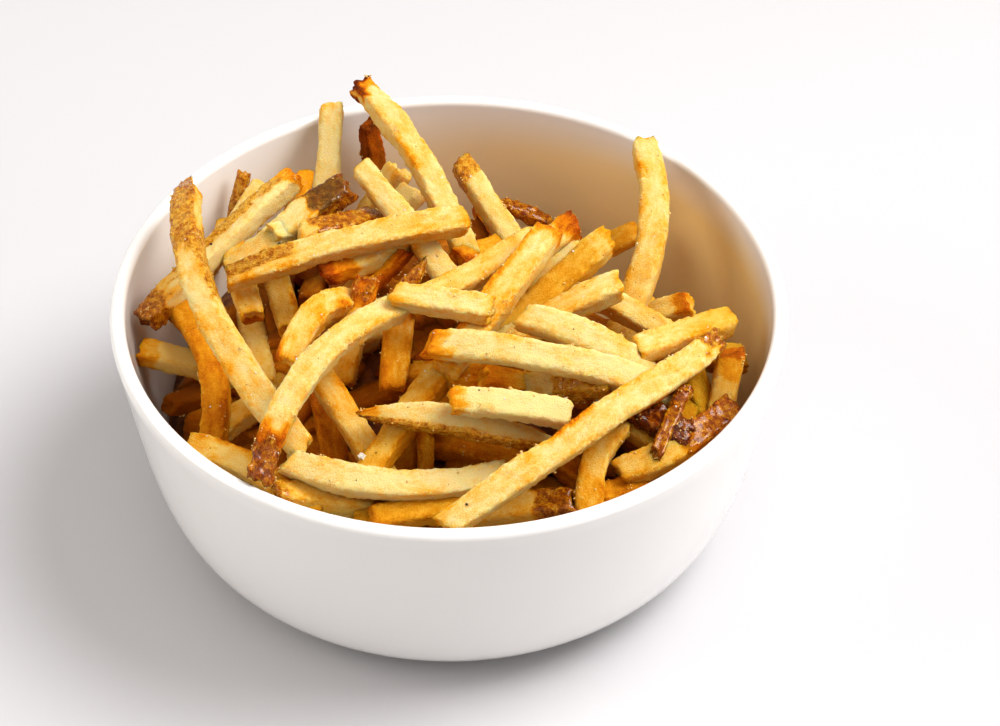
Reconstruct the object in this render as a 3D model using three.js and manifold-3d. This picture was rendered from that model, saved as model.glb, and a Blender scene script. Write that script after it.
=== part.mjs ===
// French fries portion: skin-on, hand-cut fries heaped in one round white glazed bowl.
// Millimetres, +Z up. The origin is on the table, under the middle of the bowl.

import * as THREE from "three";
import { mergeVertices } from "three/addons/utils/BufferGeometryUtils.js";
import Module from "manifold-3d";

const wasm = await Module();
wasm.setup();

// ---- Driving dimensions ------------------------------------------------------------

const BOWL_RADIUS = 85; // outside, at the rim
const BOWL_HEIGHT = 66; // table to rim
const WALL_THICKNESS = 3.9;
const FLOOR_THICKNESS = 5;
const FOOT_HEIGHT = 3;
const FOOT_OUTER_RADIUS = 43;
const FOOT_INNER_RADIUS = 38;
const FOOT_RECESS = 2; // how far the underside is hollowed inside the foot ring
const BASE_RADIUS = 47.3; // where the flat underside turns up into the rounded lower corner
const WALL_FLARE = 0.23; // share of the widening that is spread evenly up the wall
const CORNER_SPREAD = 5.8; // how low the rounded corner stays
const CORNER_FULLNESS = 4.6; // how square the rounded corner is

const TOUCH_GAP = 0.35; // between the heap and the glaze it lies on
const HEAP_EDGE = 42; // height of the packed fries along the wall
const FRY_FLATNESS = 0.84; // thickness over width
const CORNER_CUT = 0.2; // worn-off corner of the square section, over its width
const END_TAPER = 0.86; // a fry shrinks a little towards both cut ends
const END_SLANT = 0.22; // the cut ends lean by this share of the width

const ROUND_STEPS = 52; // facets round the bowl
const WALL_STEPS = 9; // facets up the wall
const RIM_STEPS = 4; // facets over the rim
const FRY_FACET = 15; // longest facet along a fry

// Mounds of packed fries under the visible ones: centre x, centre y, spread, height added.
const MOUNDS = [
  [-12, -4, 30, 27],
  [-42, 38, 22, 9],
  [34, -30, 20, 8],
  [44, 56, 25, -24], // the hollow left at the back
];

// Visible fries: first end x, y, z, second end x, y, z, sideways bow, upward bow, width, roll.
const FRIES = {
  // Long ones lying on top of the heap
  topCross: [-55, -3.2, 73, 3, 12.4, 78.7, -2, 4, 6.9, 24],
  tallLeft: [-66.5, 31, 77, -34.5, -51, 60, -10.5, 9, 7.1, 25],
  upperLeft: [-40, 37, 74, -76.4, -4.3, 60.3, 0, 1, 6.9, 10],
  leftBent: [-39, -35, 74, -14, -6, 60, 6, 8, 7, 16],
  frontLeft: [-12, -21, 79, -44.2, -66.7, 66, -4, 7, 6.8, -18],
  centreBlock: [-13, -22, 84, 10, -24, 80, 0, 0, 6.7, 20],
  centreLong: [-5.5, -34, 78.7, 54, -31, 58.7, -4, 7, 7, 34],
  upperCross: [-1, -35, 71, 25, 6, 81, 0, 1, 7.4, 10],
  upperPale: [-10, -16, 75, 22, 16, 71, -3, 2, 6.5, 16],
  frontLong: [-1.5, -72.5, 56.5, 65.5, -17, 63.8, -5, 7, 7.2, 30],
  skinCrescent: [-22, -46.4, 67.3, 28, -44.5, 54.3, -1, 4, 6.7, 30],
  centreShort: [0, -49, 74, 28, -46, 66, 0, 1.5, 6.8, 30],

  // Back of the bowl, some leaning on the rim
  backTall: [-24, 75, 76, 9, 2, 57, 2.2, 6, 6.7, 0],
  backLeftUp: [-31.8, 73, 71, -36, 41, 46, 0.5, 0, 6.3, 0],
  backDark: [-22, 71, 66, -19.5, 68.5, 40, 0, 0, 5.4, 9],
  backPale: [-23, 38, 76, 3, -4, 68, 0, 1, 6.6, 15],
  backBitLeft: [-13.2, 55.4, 62, -22.7, 53.2, 48, 0, 0, 7, 0],
  backBitRight: [-8.9, 47.9, 61, -16.9, 40.6, 56, 0, 0, 7, 0],
  darkEnd: [-26, 28, 78, -55.5, 6, 65, 0, 1, 8, -6],
  sliceByLeft: [-38, 43, 70, -44, 20, 62, 0, 0, 4.9, -2],
  leftBackBrown: [-55, 52, 64, -60, 42, 40, 0, 0, 4, -1],
  leftBackPale: [-49, 47, 64, -66, 22, 52, 0, 0, 6, -15],
  paleTip: [-45, 13, 74, -14, 36, 60, 0, 0, 5.7, 12],
  brownArch: [-38, 11.1, 75, -20, 28.1, 67, -3, 2.5, 6.2, 8],
  skinTipUp: [3, 51, 68, 24, 12, 56, 0, 0, 6.5, 0],
  darkBit: [5, 35, 60, 14, 18, 52, 0, 0, 5.7, 8],
  orangeBit: [2, 12, 66, 16, 30, 58, 0, 0, 6.4, 11],
  brownStick: [12.5, 66, 43, 30.5, 61, 38, 0, 0, 4.4, 8],
  stickRest: [9, 67, 41, 25, 45, 26, 0, 0, 6.4, 7],
  orangeBack: [51, 43, 50.5, 22, 30, 42.5, 0, 0, 6.4, -18],
  backRightUp: [52, 54, 71, 38, -8, 44, 7, 6, 7.4, 0],
  behindUp: [52, 10, 50, 48, 34, 38, 0, 0, 5.7, 4],

  // Left side, down to the glaze
  leftCurved: [-73, 7, 58, -58, -42, 50, 6, 5, 6.9, 9],
  leftWall: [-77.8, -8, 54, -46, -12, 46, 0, 0, 6.6, 10],
  rimLeft: [-61.5, -44, 55.2, -33, -62.2, 49.6, 1, 3, 6.9, 24],
  lowLeft: [-58, -36, 50, -36, -12, 52, 0, 0, 6.4, 5],
  stubLeft: [-49, -8, 65, -58, 26, 66, 0, 0, 6.7, -2],
  stubRight: [-40, -6, 58, -48, 30, 60, 0, 0, 6.4, -9],

  // Middle of the heap
  orangeLeft: [-31, -3, 74, -10, 14, 71, 0, 0, 6.2, 4],
  orangeRight: [-12, 9, 72, -32, -4, 60, 0, 0, 6.2, -7],
  brownTop: [-20, -7, 77, -27, -24, 58, 0, 0, 6.2, -11],
  brownPoint: [-6, -6, 82, -15, -14, 70, 0, 0, 4.5, -17],
  brownTip: [32.5, 19, 72.3, 8, 0, 62, 0, 1, 6.8, -5],
  thinSlice: [33, 14, 70, 20, 1, 64, 0, 0, 4.4, -5],
  forked: [40, 8, 76, 12, -16, 64, 0, 0, 7.5, -16],
  midRightHigh: [42, -5, 72, 10, -20, 64, 0, 1, 6.9, -7],
  midRightBent: [17.5, -24, 78, 50, -26, 58, -4, 6.5, 6.7, 26],
  midRightLow: [34, 2, 66, 62, -12, 54, 0, 1, 6.7, 17],
  linkBit: [49, -22, 62, 32, -26, 56, 0, 0, 5.7, -20],
  stubCentre: [8, -35, 69, -10, -26, 62, 0, 0, 6.9, -7],
  stubDown: [-1, -40, 60, 0, -16, 60, 0, 0, 6.4, 4],
  stubSteep: [-14, -34, 64, -12, -12, 72, 0, 0, 6.9, 9],
  underCrescent: [-2, -30.8, 66.5, -21, -57.8, 54.5, 0, 1, 6.9, -3],
  midLeft: [-32, -30, 66, -14, -56, 50, 0, 1, 6.7, 6],
  underShort: [6, -28, 62, 34, -30, 58, 0, 0, 6.4, 14],
  skinChunk: [39, -35.8, 68, 16, -28.5, 58.5, 0, 0, 6.9, -20],

  // Right side
  rightUpper: [45, -26, 69, 70, -7, 62, 0, 0, 6.9, 7],
  rightBackBit: [62, 8, 54.6, 44, 10.5, 45, 0, 0, 6.4, -23],
  rightOlive: [50, -3, 48.4, 75, -8, 49.4, 0, 0, 6.4, 13],
  rightEnd: [70, -16, 60, 65, -34, 44, 0, 0, 6.7, -3],
  rightPale: [58, -12, 56, 66, -32, 46, 0, 0, 6.4, -2],
  rightUnder: [62, -20, 50, 50, -40, 46, 0, 0, 6.4, -5],
  darkCrisp: [37.5, -31, 61, 58, -44.5, 56, 0, 0, 7.8, 11],
  brownStrip: [57, -32.3, 63.5, 48.5, -50.8, 58, 0, 0, 3.8, -10],
  frontRight: [40, -51.5, 52.5, 68.5, -31, 55, -4, 2, 6.9, 18],
  lowRight: [40, -36, 57, 60, -48, 49, 0, 0, 6, 13],

  // Along the front wall
  frontLevel: [-39, -54, 60, 13, -49, 50, -6.8, 1, 6.9, 26],
  frontDown: [41, -41, 59, 32.5, -63, 48, -3, 1, 6.9, -10],
  darkBlock: [29, -60, 51, 4, -58, 46, 0, 0, 6.9, -16],
  lowFrontRight: [48, -52, 50, 22, -58, 46, 0, 0, 6, -12],
  frontTipLeft: [-41, -61, 56, -18, -56, 48, 0, 0, 6.5, 9],
  frontLowLeft: [-31, -58, 49, -8, -52, 44, 0, 0, 6.4, 23],
  frontDark: [-18, -50, 46, -21, -63, 47, 0, 0, 6, -11],
  frontOrange: [-19, -65, 50, 8, -56, 45, 0, 2, 6.4, 19],
};

// ---- Shared geometry ---------------------------------------------------------------

// Keeps only the positions, with shared corners merged and collapsed triangles dropped.
function closedSkin(geometry) {
  geometry.deleteAttribute("normal");
  geometry.deleteAttribute("uv");
  const merged = mergeVertices(geometry, 1e-4);
  const corners = merged.index.array;
  const kept = [];
  for (let i = 0; i < corners.length; i += 3) {
    const [a, b, c] = corners.slice(i, i + 3);
    if (a !== b && b !== c && c !== a) kept.push(a, b, c);
  }
  merged.setIndex(kept);
  return merged;
}

function toSolid(geometry) {
  const skin = closedSkin(geometry);
  return new wasm.Manifold(
    new wasm.Mesh({
      numProp: 3,
      vertProperties: new Float32Array(skin.attributes.position.array),
      triVerts: new Uint32Array(skin.index.array),
    }),
  );
}

function toGeometry(solid) {
  const mesh = solid.getMesh();
  const geometry = new THREE.BufferGeometry();
  geometry.setAttribute("position", new THREE.BufferAttribute(mesh.vertProperties, 3));
  geometry.setIndex(new THREE.BufferAttribute(mesh.triVerts, 1));
  return geometry;
}

// ---- Bowl --------------------------------------------------------------------------

// Radius of a wall at a share of its height, from a flat base out to the rim.
function wallRadius(share, baseRadius, rimRadius) {
  const corner = (1 - (1 - share) ** CORNER_SPREAD) ** (1 / CORNER_FULLNESS);
  return baseRadius + (rimRadius - baseRadius) * ((1 - WALL_FLARE) * corner + WALL_FLARE * share);
}

const INNER_FLOOR = FOOT_HEIGHT + FLOOR_THICKNESS;
const RIM_ROUND = WALL_THICKNESS / 2;
const RIM_CENTRE_HEIGHT = BOWL_HEIGHT - RIM_ROUND;

// Radius of the inside wall at a height above the table.
function innerRadius(height) {
  const share = (height - INNER_FLOOR) / (RIM_CENTRE_HEIGHT - INNER_FLOOR);
  const clamped = Math.min(Math.max(share, 0), 1);
  return wallRadius(clamped, BASE_RADIUS - WALL_THICKNESS, BOWL_RADIUS - WALL_THICKNESS);
}

// Heights crowd together at the bottom, where the wall turns fastest.
function wallShares() {
  return Array.from({ length: WALL_STEPS + 1 }, (_, i) => (i / WALL_STEPS) ** 2.4);
}

function bowlProfile() {
  const outerHeight = RIM_CENTRE_HEIGHT - FOOT_HEIGHT;
  const outer = wallShares().map(
    (share) =>
      new THREE.Vector2(
        wallRadius(share, BASE_RADIUS, BOWL_RADIUS),
        FOOT_HEIGHT + share * outerHeight,
      ),
  );
  const inner = wallShares().map((share) => {
    const height = INNER_FLOOR + share * (RIM_CENTRE_HEIGHT - INNER_FLOOR);
    return new THREE.Vector2(innerRadius(height), height);
  });
  const rim = Array.from({ length: RIM_STEPS - 1 }, (_, i) => {
    const turn = (Math.PI * (i + 1)) / RIM_STEPS;
    return new THREE.Vector2(
      BOWL_RADIUS - RIM_ROUND + RIM_ROUND * Math.cos(turn),
      RIM_CENTRE_HEIGHT + RIM_ROUND * Math.sin(turn),
    );
  });
  return [
    new THREE.Vector2(0, FOOT_RECESS),
    new THREE.Vector2(FOOT_INNER_RADIUS - 1, FOOT_RECESS),
    new THREE.Vector2(FOOT_INNER_RADIUS, 0),
    new THREE.Vector2(FOOT_OUTER_RADIUS, 0),
    new THREE.Vector2(FOOT_OUTER_RADIUS + 1, FOOT_HEIGHT),
    ...outer,
    ...rim,
    ...inner.reverse(),
    new THREE.Vector2(0, INNER_FLOOR),
  ];
}

function bowlGeometry() {
  const turned = new THREE.LatheGeometry(bowlProfile(), ROUND_STEPS);
  turned.rotateX(Math.PI / 2);
  return closedSkin(turned);
}

// ---- Heap of fries -----------------------------------------------------------------

// Height of the packed fries that carry the visible ones.
function heapTop(x, y) {
  return MOUNDS.reduce((height, [cx, cy, spread, rise]) => {
    const distance = (x - cx) ** 2 + (y - cy) ** 2;
    return height + rise * Math.exp(-distance / (2 * spread ** 2));
  }, HEAP_EDGE);
}

// The packed core: the inside of the bowl, less the gap, up to the mounds.
function coreGeometry() {
  const sides = wallShares().map((share) => new THREE.Vector2(1, share));
  const tops = [0.86, 0.7, 0.54, 0.38, 0.22].map((radius) => new THREE.Vector2(radius, 2));
  const profile = [new THREE.Vector2(0, 0), ...sides, ...tops, new THREE.Vector2(0, 2)];
  const core = new THREE.LatheGeometry(profile, ROUND_STEPS);
  core.rotateX(Math.PI / 2);
  const places = core.attributes.position;
  for (let i = 0; i < places.count; i += 1) {
    const radius = Math.hypot(places.getX(i), places.getY(i));
    const turn = Math.atan2(places.getY(i), places.getX(i));
    const level = places.getZ(i);
    const rimX = innerRadius(HEAP_EDGE) * Math.cos(turn);
    const rimY = innerRadius(HEAP_EDGE) * Math.sin(turn);
    const edge = heapTop(rimX, rimY);
    const bottom = INNER_FLOOR + TOUCH_GAP;
    const height = level > 1 ? edge : bottom + level * (edge - bottom);
    const reach = radius * (innerRadius(height - TOUCH_GAP) - TOUCH_GAP);
    const x = reach * Math.cos(turn);
    const y = reach * Math.sin(turn);
    places.setXYZ(i, x, y, level > 1 ? heapTop(x, y) : height);
  }
  return core;
}

// One cut fry: a square bar with worn corners, bent along a curve between its two ends.
function fryGeometry([x1, y1, z1, x2, y2, z2, bow, rise, width, roll]) {
  const start = new THREE.Vector3(x1, y1, z1);
  const end = new THREE.Vector3(x2, y2, z2);
  const along = end.clone().sub(start).normalize();
  const side = new THREE.Vector3(0, 0, 1).cross(along).normalize();
  const up = along.clone().cross(side);
  const control = start.clone().add(end).multiplyScalar(0.5);
  control.addScaledVector(side, 2 * bow).addScaledVector(up, 2 * rise);
  const path = new THREE.QuadraticBezierCurve3(start, control, end);

  const half = width / 2;
  const cut = CORNER_CUT * width;
  const section = new THREE.Shape([
    new THREE.Vector2(-half + cut, -half),
    new THREE.Vector2(half - cut, -half),
    new THREE.Vector2(half, -half + cut),
    new THREE.Vector2(half, half - cut),
    new THREE.Vector2(half - cut, half),
    new THREE.Vector2(-half + cut, half),
    new THREE.Vector2(-half, half - cut),
    new THREE.Vector2(-half, -half + cut),
  ]);
  const length = path.getLength();
  const bar = new THREE.ExtrudeGeometry(section, {
    depth: 1,
    steps: Math.ceil(length / FRY_FACET),
    bevelEnabled: false,
  });
  const turn = THREE.MathUtils.degToRad(roll);
  const places = bar.attributes.position;
  for (let i = 0; i < places.count; i += 1) {
    const share = places.getZ(i);
    const endness = Math.abs(2 * share - 1) ** 6;
    const size = 1 - (1 - END_TAPER) * endness;
    const across = places.getX(i) * size;
    const through = places.getY(i) * size * FRY_FLATNESS;
    const lean = (END_SLANT * across * endness) / length;
    const place = path.getPoint(Math.min(Math.max(share + lean, 0), 1));
    const tangent = path.getTangent(share);
    const flat = new THREE.Vector3(0, 0, 1).cross(tangent).normalize();
    const raised = tangent.clone().cross(flat);
    place.addScaledVector(flat, across * Math.cos(turn) - through * Math.sin(turn));
    place.addScaledVector(raised, across * Math.sin(turn) + through * Math.cos(turn));
    places.setXYZ(i, place.x, place.y, place.z);
  }
  return bar;
}

// Joins core and fries, and keeps the one outer skin: no sealed hollow and no loose scrap.
function heapGeometry() {
  const bars = Object.values(FRIES).map((row) => toSolid(fryGeometry(row)));
  const heap = bars.reduce((sum, bar) => sum.add(bar), toSolid(coreGeometry()));
  const largest = heap.decompose().sort((a, b) => b.volume() - a.volume())[0];
  return toGeometry(largest);
}

// ---- Assembly ----------------------------------------------------------------------

const glaze = new THREE.MeshStandardMaterial({ color: 0xf4f2f0, roughness: 0.18 });
const friedPotato = new THREE.MeshStandardMaterial({ color: 0xe3b457, roughness: 0.6 });

const group = new THREE.Group();

const bowl = new THREE.Mesh(bowlGeometry(), glaze);
bowl.name = "bowl";
group.add(bowl);

const fries = new THREE.Mesh(heapGeometry(), friedPotato);
fries.name = "fries";
group.add(fries);

export default group;
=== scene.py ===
"""French fries portion: skin-on, hand-cut fries heaped in one white glazed bowl."""

import math
import random

import bmesh
import bpy
from mathutils import Matrix, Vector, noise
from mathutils.bvhtree import BVHTree


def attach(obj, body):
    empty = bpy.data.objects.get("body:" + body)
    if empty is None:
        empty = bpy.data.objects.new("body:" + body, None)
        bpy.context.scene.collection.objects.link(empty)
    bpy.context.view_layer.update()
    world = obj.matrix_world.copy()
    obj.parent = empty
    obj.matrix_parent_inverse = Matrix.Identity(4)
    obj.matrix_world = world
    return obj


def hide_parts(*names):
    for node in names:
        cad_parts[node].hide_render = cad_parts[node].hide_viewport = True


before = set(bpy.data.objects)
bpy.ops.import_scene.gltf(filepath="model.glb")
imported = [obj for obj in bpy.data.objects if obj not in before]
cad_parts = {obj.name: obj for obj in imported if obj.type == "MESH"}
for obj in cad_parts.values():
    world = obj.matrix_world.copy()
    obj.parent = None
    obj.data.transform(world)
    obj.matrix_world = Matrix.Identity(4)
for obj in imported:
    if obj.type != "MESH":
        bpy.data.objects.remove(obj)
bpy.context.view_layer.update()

# ---- The table and the light -------------------------------------------------------
# A pale, slightly glossy table top in a studio. One large soft lamp stands high to the
# right of the bowl, and three others fill in: from the left, from above the near side and
# from low on the right.

MM = 0.001  # sizes below are in millimetres, meshes are in metres
FLOOR_SIZE = 12000
CAMERA_PLACE = Vector((0.0, -459.2, 457.7))
CAMERA_AIM = Vector((12.8, -0.7, 42.4))
CAMERA_ROLL = 0.733  # degrees
CAMERA_LENS = 86.4


def new_material(name):
    material = bpy.data.materials.new(name)
    material.use_nodes = True
    return material, material.node_tree.nodes, material.node_tree.links


def finish_piece(bm, name, material, smooth=True):
    """Turns millimetres into metres and makes the object, at the origin and unturned."""
    bmesh.ops.scale(bm, vec=(MM, MM, MM), verts=bm.verts)
    mesh = bpy.data.meshes.new(name)
    bm.to_mesh(mesh)
    bm.free()
    mesh.materials.append(material)
    mesh.polygons.foreach_set("use_smooth", [smooth] * len(mesh.polygons))
    piece = bpy.data.objects.new(name, mesh)
    bpy.context.collection.objects.link(piece)
    return piece


table_top, nodes, links = new_material("table_top")
shader = nodes["Principled BSDF"]
shader.inputs["Base Color"].default_value = (0.60, 0.596, 0.610, 1)
shader.inputs["Roughness"].default_value = 0.42
shader.inputs["Specular IOR Level"].default_value = 0.3

floor_mesh = bmesh.new()
bmesh.ops.create_grid(floor_mesh, x_segments=1, y_segments=1, size=FLOOR_SIZE / 2)
floor = finish_piece(floor_mesh, "floor", table_top)


def area_lamp(name, place, size, watts, tint, spread=math.pi):
    lamp = bpy.data.lights.new(name, "AREA")
    lamp.shape = "DISK"
    lamp.spread = spread
    lamp.size = size * MM
    lamp.energy = watts
    lamp.color = tint
    thing = bpy.data.objects.new(name, lamp)
    thing.location = Vector(place) * MM
    thing.rotation_euler = (-Vector(place)).to_track_quat("-Z", "Y").to_euler()
    bpy.context.collection.objects.link(thing)


area_lamp("key_lamp", (980, 170, 1430), 1250, 6.7, (1.0, 0.985, 0.98), math.radians(75))
area_lamp("fill_lamp", (-1300, -100, 700), 1000, 6.6, (1.0, 0.96, 0.90))
area_lamp("top_lamp", (-100, -500, 1650), 1400, 4.3, (1.0, 0.97, 0.93))
area_lamp("low_lamp", (1530, -560, 760), 900, 2.8, (1.0, 0.98, 0.96))

world = bpy.data.worlds.new("studio")
bpy.context.scene.world = world
world.use_nodes = True
backdrop = world.node_tree.nodes["Background"]
backdrop.inputs["Color"].default_value = (1.0, 0.955, 0.92, 1)
backdrop.inputs["Strength"].default_value = 0.37
bpy.context.scene.view_settings.view_transform = "Standard"
bpy.context.scene.view_settings.look = "Medium High Contrast"

camera_data = bpy.data.cameras.new("camera")
camera_data.lens = CAMERA_LENS
camera_data.sensor_width = 36
camera = bpy.data.objects.new("camera", camera_data)
camera.location = CAMERA_PLACE * MM
gaze = (CAMERA_AIM - CAMERA_PLACE).to_track_quat("-Z", "Y").to_matrix()
turn = gaze @ Matrix.Rotation(math.radians(CAMERA_ROLL), 3, "Z")
camera.rotation_euler = turn.to_euler()
bpy.context.collection.objects.link(camera)
bpy.context.scene.camera = camera

# ---- The bowl ----------------------------------------------------------------------
# One turned porcelain bowl: a foot ring, a rounded lower corner, a slightly flaring wall
# and a round rim. A clear gloss glaze covers it all but the ground underside of the foot.

BOWL_RADIUS = 85
BOWL_HEIGHT = 66
WALL_THICKNESS = 3.9
FLOOR_THICKNESS = 5
FOOT_HEIGHT = 3
FOOT_OUTER_RADIUS = 43
FOOT_INNER_RADIUS = 38
FOOT_RECESS = 2
FOOT_FILLET = 1.6  # where the hollow under the bowl meets the foot ring
FOOT_ROUND = 0.6  # the ring's edges are rounded by this sideways
FOOT_EASE = 0.5  # and by this upwards
FOOT_SLOPE = 0.4
FOOT_BLEND = 1.2  # where the ring's outside meets the bowl
BASE_RADIUS = 47.3
WALL_FLARE = 0.23
CORNER_SPREAD = 5.8
CORNER_FULLNESS = 4.6
INNER_FLOOR = FOOT_HEIGHT + FLOOR_THICKNESS
RIM_ROUND = WALL_THICKNESS / 2
RIM_CENTRE = BOWL_HEIGHT - RIM_ROUND
WALL_STEPS = 44
CROWDING = 2.6  # the outline's points lie closer together where the lower corner curves
RIM_STEPS = 12
TURN_STEPS = 160
OIL_AND_BOUNCE_START = 2  # a warm tint on the glaze, partly a thin coat of frying oil and partly painted warm bounce light from the fries, starts this far under the rim's top
OIL_AND_BOUNCE_DEPTH = 18  # and reaches its full tint over about this depth
PAINTED_BOUNCE_SIDE = math.radians(20)  # it is strongest on this side, the shaded side of the wall, where it paints the fries' bounce light
OIL_AND_BOUNCE_LEAST = 0.06  # and this faint on the other, lit side


def wall_radius(share, base, rim):
    corner = (1 - (1 - share) ** CORNER_SPREAD) ** (1 / CORNER_FULLNESS)
    return base + (rim - base) * ((1 - WALL_FLARE) * corner + WALL_FLARE * share)


def inner_radius(height):
    share = min(max((height - INNER_FLOOR) / (RIM_CENTRE - INNER_FLOOR), 0), 1)
    return wall_radius(share, BASE_RADIUS - WALL_THICKNESS, BOWL_RADIUS - WALL_THICKNESS)


wall_shares = [(step / WALL_STEPS) ** CROWDING for step in range(WALL_STEPS + 1)]
outer_rise = RIM_CENTRE - FOOT_HEIGHT
outer_wall = [
    (wall_radius(share, BASE_RADIUS, BOWL_RADIUS), FOOT_HEIGHT + share * outer_rise)
    for share in wall_shares
]
rim_turns = [math.pi * step / RIM_STEPS for step in range(1, RIM_STEPS)]
rounded_rim = [
    (BOWL_RADIUS - RIM_ROUND * (1 - math.cos(turn)), RIM_CENTRE + RIM_ROUND * math.sin(turn))
    for turn in rim_turns
]
inner_heights = [INNER_FLOOR + share * (RIM_CENTRE - INNER_FLOOR) for share in wall_shares]
bowl_outline = [
    (0, FOOT_RECESS),
    (FOOT_INNER_RADIUS - FOOT_FILLET, FOOT_RECESS),
    (FOOT_INNER_RADIUS - FOOT_ROUND, FOOT_RECESS - FOOT_EASE),
    (FOOT_INNER_RADIUS, FOOT_EASE),
    (FOOT_INNER_RADIUS + FOOT_ROUND, 0),
    (FOOT_OUTER_RADIUS - FOOT_ROUND, 0),
    (FOOT_OUTER_RADIUS, FOOT_EASE),
    (FOOT_OUTER_RADIUS + FOOT_SLOPE, FOOT_HEIGHT - FOOT_ROUND),
    (FOOT_OUTER_RADIUS + FOOT_BLEND, FOOT_HEIGHT),
    *outer_wall,
    *rounded_rim,
    *[(inner_radius(height), height) for height in reversed(inner_heights)],
    (0, INNER_FLOOR),
]


def turned(outline, steps):
    """Turns an outline once round the Z axis and closes it."""
    bm = bmesh.new()
    verts = [bm.verts.new((radius, 0, height)) for radius, height in outline]
    edges = [bm.edges.new(pair) for pair in zip(verts, verts[1:])]
    bmesh.ops.spin(
        bm,
        geom=verts + edges,
        cent=(0, 0, 0),
        axis=(0, 0, 1),
        angle=math.tau,
        steps=steps,
        use_merge=True,
    )
    bmesh.ops.remove_doubles(bm, verts=bm.verts, dist=1e-3)
    bmesh.ops.recalc_face_normals(bm, faces=bm.faces)
    return bm


glaze, nodes, links = new_material("gloss_glaze")
shader = nodes["Principled BSDF"]
shader.inputs["Roughness"].default_value = 0.09
shader.inputs["IOR"].default_value = 1.52
place = nodes.new("ShaderNodeTexCoord")
ripple = nodes.new("ShaderNodeTexNoise")
ripple.inputs["Scale"].default_value = 45
ripple.inputs["Detail"].default_value = 1
waver = nodes.new("ShaderNodeBump")
waver.inputs["Strength"].default_value = 0.12
waver.inputs["Distance"].default_value = 0.4 * MM
links.new(place.outputs["Object"], ripple.inputs["Vector"])
links.new(ripple.outputs["Fac"], waver.inputs["Height"])
links.new(waver.outputs["Normal"], shader.inputs["Normal"])
# Painted light in part: the warm colour mixed in by the "oily" value is partly a thin coat of oil and
# partly painted warm bounce light and reflection from the fries.
warm_tint_value = nodes.new("ShaderNodeAttribute")
warm_tint_value.attribute_name = "oily"
tinting = nodes.new("ShaderNodeMix")
tinting.data_type = "RGBA"
tinting.inputs[6].default_value = (0.89, 0.872, 0.855, 1)
tinting.inputs[7].default_value = (0.96, 0.76, 0.38, 1)
links.new(warm_tint_value.outputs["Fac"], tinting.inputs[0])
links.new(tinting.outputs[2], shader.inputs["Base Color"])

biscuit, nodes, links = new_material("bare_foot_ring")
shader = nodes["Principled BSDF"]
shader.inputs["Base Color"].default_value = (0.74, 0.70, 0.64, 1)
shader.inputs["Roughness"].default_value = 0.85
place = nodes.new("ShaderNodeTexCoord")
grit = nodes.new("ShaderNodeTexNoise")
grit.inputs["Scale"].default_value = 1800
roughen = nodes.new("ShaderNodeBump")
roughen.inputs["Strength"].default_value = 0.5
roughen.inputs["Distance"].default_value = 0.1 * MM
links.new(place.outputs["Object"], grit.inputs["Vector"])
links.new(grit.outputs["Fac"], roughen.inputs["Height"])
links.new(roughen.outputs["Normal"], shader.inputs["Normal"])

INSIDE_MARGIN = 1  # what is this near to the inner wall counts as the inside
GROUND_HEIGHT = 0.3  # the glaze is ground off the foot ring below this

bowl_mesh = turned(bowl_outline, TURN_STEPS)
# The "oily" value is the share of warm tint on the inner wall: a thin coat of oil in part, and in part
# painted bounce light, reaching deepest and strongest on the shaded side.
oily = bowl_mesh.verts.layers.float.new("oily")
for vert in bowl_mesh.verts:
    if math.hypot(vert.co.x, vert.co.y) < inner_radius(vert.co.z) + INSIDE_MARGIN:
        far_side = 0.5 + 0.5 * math.cos(math.atan2(vert.co.y, vert.co.x) - PAINTED_BOUNCE_SIDE)
        tint_depth = OIL_AND_BOUNCE_DEPTH * (1.3 - 0.8 * far_side)
        tint_share = min(max((BOWL_HEIGHT - OIL_AND_BOUNCE_START - vert.co.z) / tint_depth, 0), 1)
        vert[oily] = tint_share * (OIL_AND_BOUNCE_LEAST + (1 - OIL_AND_BOUNCE_LEAST) * far_side)
bowl = finish_piece(bowl_mesh, "white_bowl", glaze)
bowl.data.materials.append(biscuit)
for face in bowl.data.polygons:
    if face.center.z < GROUND_HEIGHT * MM:
        face.material_index = 1
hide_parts("bowl")
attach(bowl, "root")

# ---- Potato ------------------------------------------------------------------------
# Potato cut by hand with its skin on and fried twice. The flat cuts are pale gold with
# browner corners, ends and blisters, and what skin is left is dark, wrinkled and glossy.


def blend_colour(nodes, links, share, first, second):
    """Mixes two colours, each given as a value or as a socket."""
    mix = nodes.new("ShaderNodeMix")
    mix.data_type = "RGBA"
    for socket, value in ((mix.inputs[0], share), (mix.inputs[6], first), (mix.inputs[7], second)):
        if isinstance(value, bpy.types.NodeSocket):
            links.new(value, socket)
        else:
            socket.default_value = value
    return mix.outputs[2]


def sum_up(nodes, links, way, first, second=None, third=None):
    """One arithmetic step on values or sockets."""
    step = nodes.new("ShaderNodeMath")
    step.operation = way
    for socket, value in zip(step.inputs, (first, second, third)):
        if isinstance(value, bpy.types.NodeSocket):
            links.new(value, socket)
        elif value is not None:
            socket.default_value = value
    return step.outputs[0]


def band(nodes, links, value, stops):
    """Turns a value into a colour by a ramp of (place, colour) stops."""
    ramp = nodes.new("ShaderNodeValToRGB")
    steps = ramp.color_ramp.elements
    while len(steps) < len(stops):
        steps.new(0.5)
    for step, (spot, colour) in zip(steps, stops):
        step.position = spot
        step.color = (*colour, 1)
    links.new(value, ramp.inputs["Fac"])
    return ramp.outputs["Color"]


def grain(nodes, links, place, size, detail=2, lumpy=0.5):
    """A noise whose lumps are about as wide as the size, in millimetres."""
    texture = nodes.new("ShaderNodeTexNoise")
    texture.inputs["Scale"].default_value = 1 / (size * MM)
    texture.inputs["Detail"].default_value = detail
    texture.inputs["Roughness"].default_value = lumpy
    links.new(place, texture.inputs["Vector"])
    return texture.outputs["Fac"]


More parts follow.
